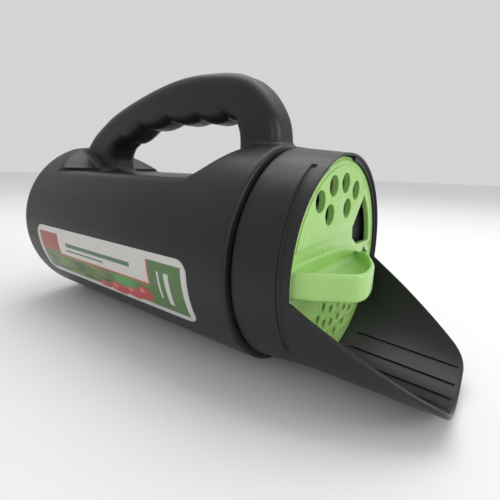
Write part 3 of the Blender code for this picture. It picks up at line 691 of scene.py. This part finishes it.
def build_label(look):
    """Printed film wrapped on the bottle's side, with its own millimetre coordinates for the print."""
    low, high = (math.radians(a) for a in LABEL_DEG)
    radius = BODY_RADIUS + LABEL_THICK
    height = (high - low) * radius
    length = LABEL_X[1] - LABEL_X[0]
    mesh = bmesh.new()
    layer = mesh.loops.layers.uv.new("print")
    rows = []
    for up in [height * (1 - math.cos(math.pi * i / 36)) / 2 for i in range(37)]:
        inside = min(LABEL_CORNER, up, height - up)
        short = LABEL_CORNER - math.sqrt(LABEL_CORNER ** 2 - (LABEL_CORNER - inside) ** 2)
        angle = low + up / radius
        row = []
        for column in range(41):
            along = short + (length - 2 * short) * column / 40
            place = (LABEL_X[0] + along, -radius * math.sin(angle), -radius * math.cos(angle))
            row.append((mesh.verts.new(place), (along / MM, up / MM)))
        rows.append(row)
    for below, above in zip(rows, rows[1:]):
        for i in range(40):
            corners = (below[i], below[i + 1], above[i + 1], above[i])
            face = mesh.faces.new([c[0] for c in corners])
            for loop, corner in zip(face.loops, corners):
                loop[layer].uv = corner[1]
    bmesh.ops.recalc_face_normals(mesh, faces=mesh.faces)
    if sum(face.normal.y for face in mesh.faces) > 0:
        bmesh.ops.reverse_faces(mesh, faces=mesh.faces)
    label = placed("label_print", mesh)
    solid = label.modifiers.new("thick", "SOLIDIFY")
    solid.thickness = LABEL_THICK + 0.1 * MM
    solid.offset = -1
    dress(label, look, "bottle", "label_film", "side_label")


# ---------------------------------------------------------------- materials

class Nodes:
    """Short way to write a material's nodes."""

    def __init__(self, name):
        self.material = bpy.data.materials.new(name)
        self.material.use_nodes = True
        self.tree = self.material.node_tree
        self.shader = self.tree.nodes["Principled BSDF"]

    def add(self, kind, inputs=(), **settings):
        node = self.tree.nodes.new(kind)
        for key, value in settings.items():
            setattr(node, key, value)
        for key, value in dict(inputs).items():
            self.put(node.inputs[key], value)
        return node

    def put(self, socket, value):
        if isinstance(value, bpy.types.NodeSocket):
            self.tree.links.new(value, socket)
        else:
            socket.default_value = value

    def math(self, operation, a, b=0.0, clamp=False):
        node = self.add("ShaderNodeMath", {0: a, 1: b}, operation=operation, use_clamp=clamp)
        return node.outputs[0]

    def mix(self, share, a, b):
        node = self.add("ShaderNodeMix", data_type="RGBA")
        self.put(node.inputs[0], share)
        self.put(node.inputs[6], a)
        self.put(node.inputs[7], b)
        return node.outputs[2]

    def remap(self, value, low, high, to_low, to_high):
        node = self.add("ShaderNodeMapRange", {0: value, 1: low, 2: high, 3: to_low, 4: to_high})
        return node.outputs[0]

    def noise(self, vector, scale, detail=2.0, rough=0.5):
        node = self.add("ShaderNodeTexNoise", {"Vector": vector, "Scale": scale, "Detail": detail,
                                               "Roughness": rough})
        return node.outputs[0]

    def set(self, **inputs):
        for key, value in inputs.items():
            self.put(self.shader.inputs[key.replace("_", " ")], value)


def moulded(name, dark, light, roughness, grain, wear):
    """Moulded plastic: fine surface grain, uneven gloss, faint flow marks and lighter scuffed edges."""
    n = Nodes(name)
    place = n.add("ShaderNodeTexCoord").outputs["Object"]
    cloud = n.noise(place, 28, 3)
    stretched = n.add("ShaderNodeMapping", {"Vector": place, "Scale": (30, 400, 400)}).outputs[0]
    streak = n.noise(stretched, 1.0, 3, 0.6)
    edge = n.add("ShaderNodeNewGeometry").outputs["Pointiness"]
    worn = n.math("MULTIPLY", n.remap(edge, 0.53, 0.60, 0, wear), n.remap(n.noise(place, 220, 4), 0.4, 0.65, 0, 1))
    base = n.mix(n.remap(cloud, 0.3, 0.7, 0, 1), (*dark, 1), (*light, 1))
    bright = tuple(min(1, 2.2 * c + 0.01) for c in light)
    n.set(Base_Color=n.mix(worn, base, (*bright, 1)))
    gloss = n.math("ADD", n.remap(cloud, 0.3, 0.7, roughness - 0.04, roughness + 0.05),
                   n.remap(streak, 0.35, 0.65, -0.03, 0.03))
    n.set(Roughness=gloss)
    n.shader.inputs["Specular IOR Level"].default_value = 0.32
    fine = n.noise(place, 2600, 2)
    soft = n.noise(place, 90, 2)
    height = n.math("ADD", n.math("MULTIPLY", fine, grain), n.math("MULTIPLY", soft, 0.5))
    bump = n.add("ShaderNodeBump", {"Strength": 0.35, "Distance": 0.05 * MM, "Height": height}).outputs[0]
    n.set(Normal=bump)
    return n.material


def glossy_green():
    n = Nodes("dial_green")
    place = n.add("ShaderNodeTexCoord").outputs["Object"]
    cloud = n.noise(place, 45, 3)
    dust = n.remap(n.noise(place, 700, 5, 0.65), 0.60, 0.72, 0, 0.22)
    base = n.mix(n.remap(cloud, 0.3, 0.7, 0, 1), (0.33, 0.58, 0.155, 1), (0.38, 0.63, 0.19, 1))
    n.set(Base_Color=n.mix(dust, base, (0.52, 0.66, 0.38, 1)))
    n.set(Roughness=n.remap(cloud, 0.3, 0.7, 0.24, 0.33))
    n.shader.inputs["Subsurface Weight"].default_value = 0.12
    n.shader.inputs["Subsurface Radius"].default_value = (0.4, 1.0, 0.25)
    n.shader.inputs["Subsurface Scale"].default_value = 0.0015
    bump = n.add("ShaderNodeBump", {"Strength": 0.25, "Distance": 0.04 * MM,
                                    "Height": n.noise(place, 420, 3)}).outputs[0]
    n.set(Normal=bump)
    return n.material


def rubber():
    n = Nodes("seal_rubber")
    place = n.add("ShaderNodeTexCoord").outputs["Object"]
    speck = n.noise(place, 900, 4)
    n.set(Base_Color=n.mix(speck, (0.02, 0.02, 0.021, 1), (0.05, 0.05, 0.052, 1)))
    n.set(Roughness=n.remap(speck, 0.3, 0.7, 0.65, 0.85))
    n.set(Normal=n.add("ShaderNodeBump", {"Strength": 0.4, "Distance": 0.05 * MM, "Height": speck}).outputs[0])
    return n.material


def printed_film():
    """Label print: a white border and strip, a green field with soft bands, red round shapes and plain bars."""
    n = Nodes("label_film")
    uv = n.add("ShaderNodeUVMap", uv_map="print").outputs[0]
    split = n.add("ShaderNodeSeparateXYZ", {0: uv})
    u, v = split.outputs[0], split.outputs[1]

    def box(u0, u1, v0, v1, soft=0.25):
        """1 inside a box of the print, in millimetres from the label's lower back corner."""
        across = n.math("MINIMUM", n.math("SUBTRACT", u, u0), n.math("SUBTRACT", u1, u))
        up = n.math("MINIMUM", n.math("SUBTRACT", v, v0), n.math("SUBTRACT", v1, v))
        return n.remap(n.math("MINIMUM", across, up), -soft, soft, 0, 1)

    def blob(u0, v0, ru, rv, soft=0.12):
        a = n.math("DIVIDE", n.math("SUBTRACT", u, u0), ru)
        b = n.math("DIVIDE", n.math("SUBTRACT", v, v0), rv)
        reach = n.math("SQRT", n.math("ADD", n.math("MULTIPLY", a, a), n.math("MULTIPLY", b, b)))
        return n.remap(reach, 1 - soft, 1 + soft, 1, 0)

    wave = n.add("ShaderNodeCombineXYZ", {0: n.math("MULTIPLY", u, 0.03), 1: n.math("MULTIPLY", v, 0.16)})
    bands = n.noise(wave.outputs[0], 1.6, 4, 0.55)
    leafy = n.noise(uv, 0.35, 4, 0.6)
    field = n.mix(n.remap(bands, 0.38, 0.62, 0, 1), (0.02, 0.06, 0.012, 1), (0.15, 0.22, 0.025, 1))
    field = n.mix(n.remap(leafy, 0.5, 0.7, 0, 0.5), field, (0.10, 0.25, 0.03, 1))
    white = (0.60, 0.58, 0.55, 1)
    color = n.mix(box(4, 154, 4, 33.5, 0.5), white, field)
    color = n.mix(box(126, 154, 4, 33.5), color, n.mix(leafy, (0.03, 0.10, 0.015, 1), (0.07, 0.19, 0.03, 1)))
    color = n.mix(n.math("MULTIPLY", box(4, 30, 20, 33.5), n.remap(leafy, 0.35, 0.6, 0.6, 1)), color,
                  (0.34, 0.025, 0.02, 1))
    for u0, v0, ru, rv in ((92, 6, 9, 4.5), (108, 7.5, 8, 5), (120, 10, 6, 5), (76, 5, 6, 2.6)):
        color = n.mix(blob(u0, v0, ru, rv), color, (0.50, 0.02, 0.03, 1))
        color = n.mix(blob(u0 - ru / 3, v0 + rv / 3, ru / 4, rv / 4, 0.8), color, (0.75, 0.25, 0.2, 1))
    color = n.mix(blob(103, 15, 11, 4.5, 0.4), color, (0.05, 0.30, 0.06, 1))
    color = n.mix(box(30, 128.6, 18.2, 37), color, (0.50, 0.04, 0.03, 1))
    color = n.mix(box(30, 127.4, 19.2, 37), color, white)
    color = n.mix(box(0, 158, 33.5, 60), color, white)
    for u0, u1, v0, v1 in ((40, 112, 25.6, 28.4), (40, 84, 22.4, 23.6)):
        color = n.mix(box(u0, u1, v0, v1), color, (0.04, 0.13, 0.05, 1))
    for u0, u1, v0, v1 in ((141, 144.5, 9, 28), (135.5, 137, 12, 28)):
        color = n.mix(box(u0, u1, v0, v1), color, white)
    paper = n.noise(uv, 6, 4)
    color = n.mix(n.remap(paper, 0.3, 0.8, 0, 0.12), color, (0.45, 0.44, 0.40, 1))
    n.set(Base_Color=color, Roughness=n.remap(paper, 0.3, 0.7, 0.30, 0.42))
    n.shader.inputs["Coat Weight"].default_value = 0.1
    n.shader.inputs["Coat Roughness"].default_value = 0.2
    bump = n.add("ShaderNodeBump", {"Strength": 0.2, "Distance": 0.05 * MM, "Height": n.noise(uv, 0.5, 3)})
    n.set(Normal=bump.outputs[0])
    return n.material


# ---------------------------------------------------------------- camera, light, floor

def point_camera():
    """Camera close to the cap, at a height just above the bottle's shelf."""
    azimuth, elevation, roll = (math.radians(a) for a in (36.462, 13.418, 1.575))
    back = Vector((math.sin(azimuth) * math.cos(elevation), -math.cos(azimuth) * math.cos(elevation),
                   math.sin(elevation)))
    right = Vector((math.cos(azimuth), math.sin(azimuth), 0))
    up = back.cross(right)
    tilted_right = math.cos(roll) * right + math.sin(roll) * up
    tilted_up = math.cos(roll) * up - math.sin(roll) * right
    data = bpy.data.cameras.new("camera")
    data.sensor_width = 36
    data.lens = 24.74
    data.clip_start = 0.01
    camera = bpy.data.objects.new("camera", data)
    bpy.context.scene.collection.objects.link(camera)
    turn = Matrix((tilted_right, tilted_up, back)).transposed().to_4x4()
    place = Vector((FRONT_X + 63.926 * MM, -168.61 * MM, AXIS_Z + 46.752 * MM))
    camera.matrix_world = Matrix.Translation(place) @ turn
    bpy.context.scene.camera = camera


def light(name, place, target, size, power, color=(1, 1, 1)):
    data = bpy.data.lights.new(name, "AREA")
    data.shape = "RECTANGLE"
    data.size, data.size_y = size
    data.energy = power
    data.color = color
    lamp = bpy.data.objects.new(name, data)
    bpy.context.scene.collection.objects.link(lamp)
    lamp.location = place
    lamp.rotation_euler = (Vector(target) - Vector(place)).to_track_quat("-Z", "Y").to_euler()


def light_studio():
    light("top_softbox", (-0.1, 0.35, 1.0), (0, 0, 0.05), (1.2, 0.8), 6)
    light("window", (1.0, -0.7, 0.45), (0.03, 0, 0.12), (0.16, 0.3), 1.6, (0.80, 0.87, 1.0))
    light("front_softbox", (1.3, 0.45, 0.55), (0.09, 0, 0.06), (0.6, 0.5), 5)
    world = bpy.data.worlds.new("studio")
    bpy.context.scene.world = world
    world.use_nodes = True
    background = world.node_tree.nodes["Background"]
    background.inputs["Color"].default_value = (1, 1, 1, 1)
    background.inputs["Strength"].default_value = 0.66
    bpy.context.scene.view_settings.view_transform = "Standard"


def lay_floor():
    mesh = bpy.data.meshes.new("floor")
    mesh.from_pydata([(-4, -4, 0), (4, -4, 0), (4, 4, 0), (-4, 4, 0)], [], [(0, 1, 2, 3)])
    floor = bpy.data.objects.new("floor", mesh)
    bpy.context.scene.collection.objects.link(floor)
    look = bpy.data.materials.new("floor")
    look.use_nodes = True
    shader = look.node_tree.nodes["Principled BSDF"]
    shader.inputs["Base Color"].default_value = (0.86, 0.86, 0.86, 1)
    shader.inputs["Roughness"].default_value = 0.7
    mesh.materials.append(look)


def main():
    point_camera()
    light_studio()
    lay_floor()
    bottle_black = moulded("bottle_black", (0.011, 0.011, 0.011), (0.017, 0.017, 0.017), 0.40, 0.5, 0.35)
    cap_black = moulded("cap_black", (0.012, 0.012, 0.013), (0.019, 0.019, 0.020), 0.38, 0.35, 0.4)
    build_bottle(bottle_black)
    build_cap(cap_black)
    build_dial(glossy_green())
    build_label(printed_film())
    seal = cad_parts["sealing_ring"]
    seal.data.materials.clear()
    seal.data.materials.append(rubber())


main()
